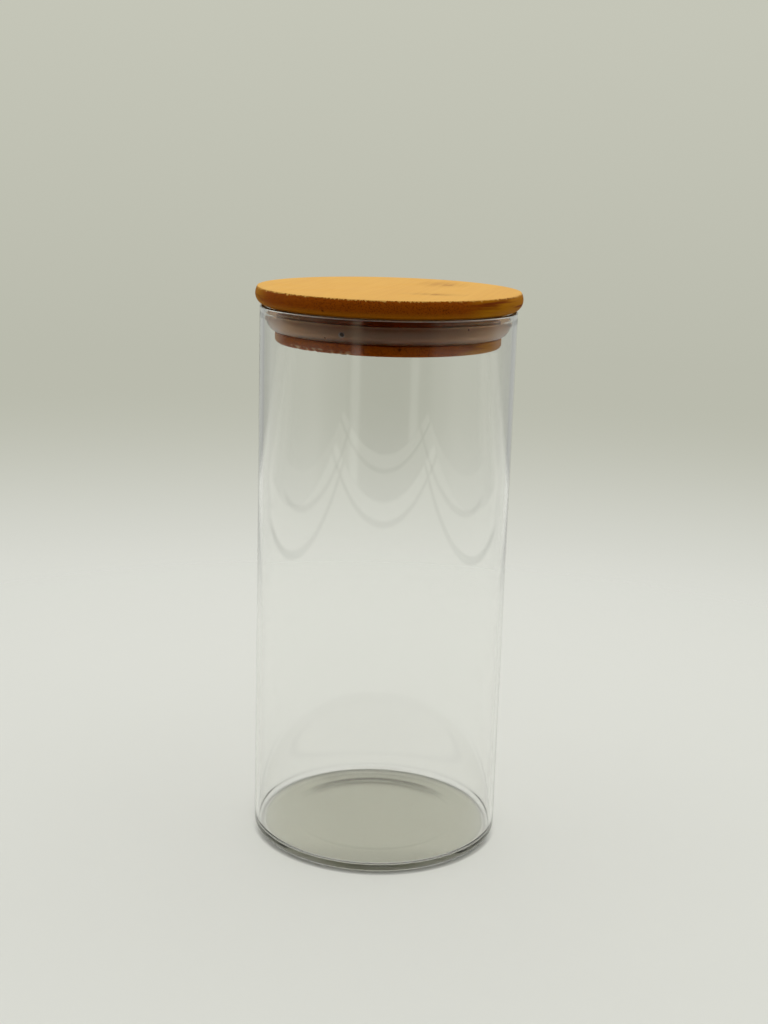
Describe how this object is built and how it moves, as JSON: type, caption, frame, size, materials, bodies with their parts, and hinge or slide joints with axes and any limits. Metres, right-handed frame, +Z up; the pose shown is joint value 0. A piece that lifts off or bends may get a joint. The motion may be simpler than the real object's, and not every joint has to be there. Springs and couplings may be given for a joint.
{
  "type": "glass storage jar",
  "caption": "Tall straight-walled clear glass storage jar with a turned bamboo lid whose grooved plug carries a flared translucent silicone seal.",
  "frame": {"origin": "centre of the jar's standing plane, on the jar's axis", "axes": "+Z up along the jar's axis, from the standing plane to the lid; the shape is round, so +X and +Y are equal"},
  "size_m": [0.1036, 0.1036, 0.2219],
  "materials": {
    "glass": "clear, fire-polished",
    "bamboo": "sanded bamboo with a thin clear coat",
    "silicone": "translucent white silicone, satin"
  },
  "bodies": {
    "jar": {"glass_jar": "glass"},
    "lid": {"bamboo_lid": "bamboo", "seal_ring": "silicone"}
  },
  "joints": [
    {"name": "lid_lift", "type": "slide", "parent": "jar", "child": "lid", "axis": [0, 0, 1], "range_m": [0, 0.05]}
  ]
}
